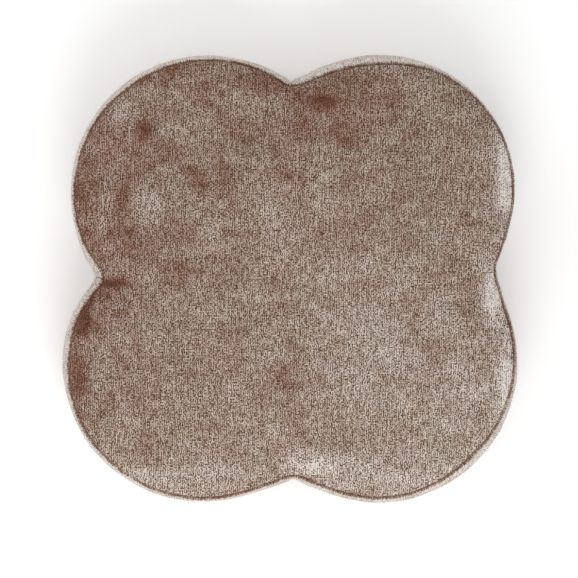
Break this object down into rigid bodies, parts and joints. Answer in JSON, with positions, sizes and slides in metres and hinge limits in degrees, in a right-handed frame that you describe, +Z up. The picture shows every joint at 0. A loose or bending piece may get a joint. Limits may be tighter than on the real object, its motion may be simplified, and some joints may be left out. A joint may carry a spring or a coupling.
{
  "type": "floor cushion",
  "caption": "Low four-lobed floor cushion in taupe chenille velvet with an upright sewn border, a foam pad inside and a zip across its base",
  "frame": {"origin": "bottom centre of the cushion, on the floor it lies on", "axes": "+Z up through the middle of the top; +X and +Y point at two neighbouring hollows between the lobes, and the zip in the base runs along X, closed towards +X"},
  "size_m": [0.449, 0.449, 0.1],
  "materials": {
    "velvet": "matte",
    "base_cloth": "matte",
    "thread": "matte",
    "zip_tape": "matte",
    "nylon": "satin",
    "zip_metal": "satin",
    "spunbond": "matte",
    "wadding": "matte",
    "foam": "matte"
  },
  "bodies": {
    "cushion": {"top_panel": "velvet", "border_back_right": "velvet", "border_back_left": "velvet", "border_front_left": "velvet", "border_front_right": "velvet", "top_seam_thread": "thread", "base_seam_thread": "thread", "base_panel_front": "base_cloth", "base_panel_back": "base_cloth", "zip_tape_front": "zip_tape", "zip_tape_back": "zip_tape", "zip_teeth_front": "nylon", "zip_teeth_back": "nylon", "zip_top_stop_front": "zip_metal", "zip_top_stop_back": "zip_metal", "zip_bottom_stop": "zip_metal", "liner_base": "spunbond", "liner_border": "spunbond", "liner_top": "spunbond", "wadding_base": "wadding", "wadding_border": "wadding", "wadding_top": "wadding", "foam_core": "foam"},
    "slider": {"zip_slider": "zip_metal"},
    "pull": {"zip_pull": "zip_metal"}
  },
  "joints": [
    {"name": "zip_slide", "type": "slide", "parent": "cushion", "child": "slider", "axis": [1, 0, 0], "range_m": [-0.311, 0]},
    {"name": "pull_hinge", "type": "hinge", "parent": "slider", "child": "pull", "pos_m": [0.1555, 0, 0.00445], "axis": [0, -1, 0], "range_deg": [0, 180]}
  ]
}
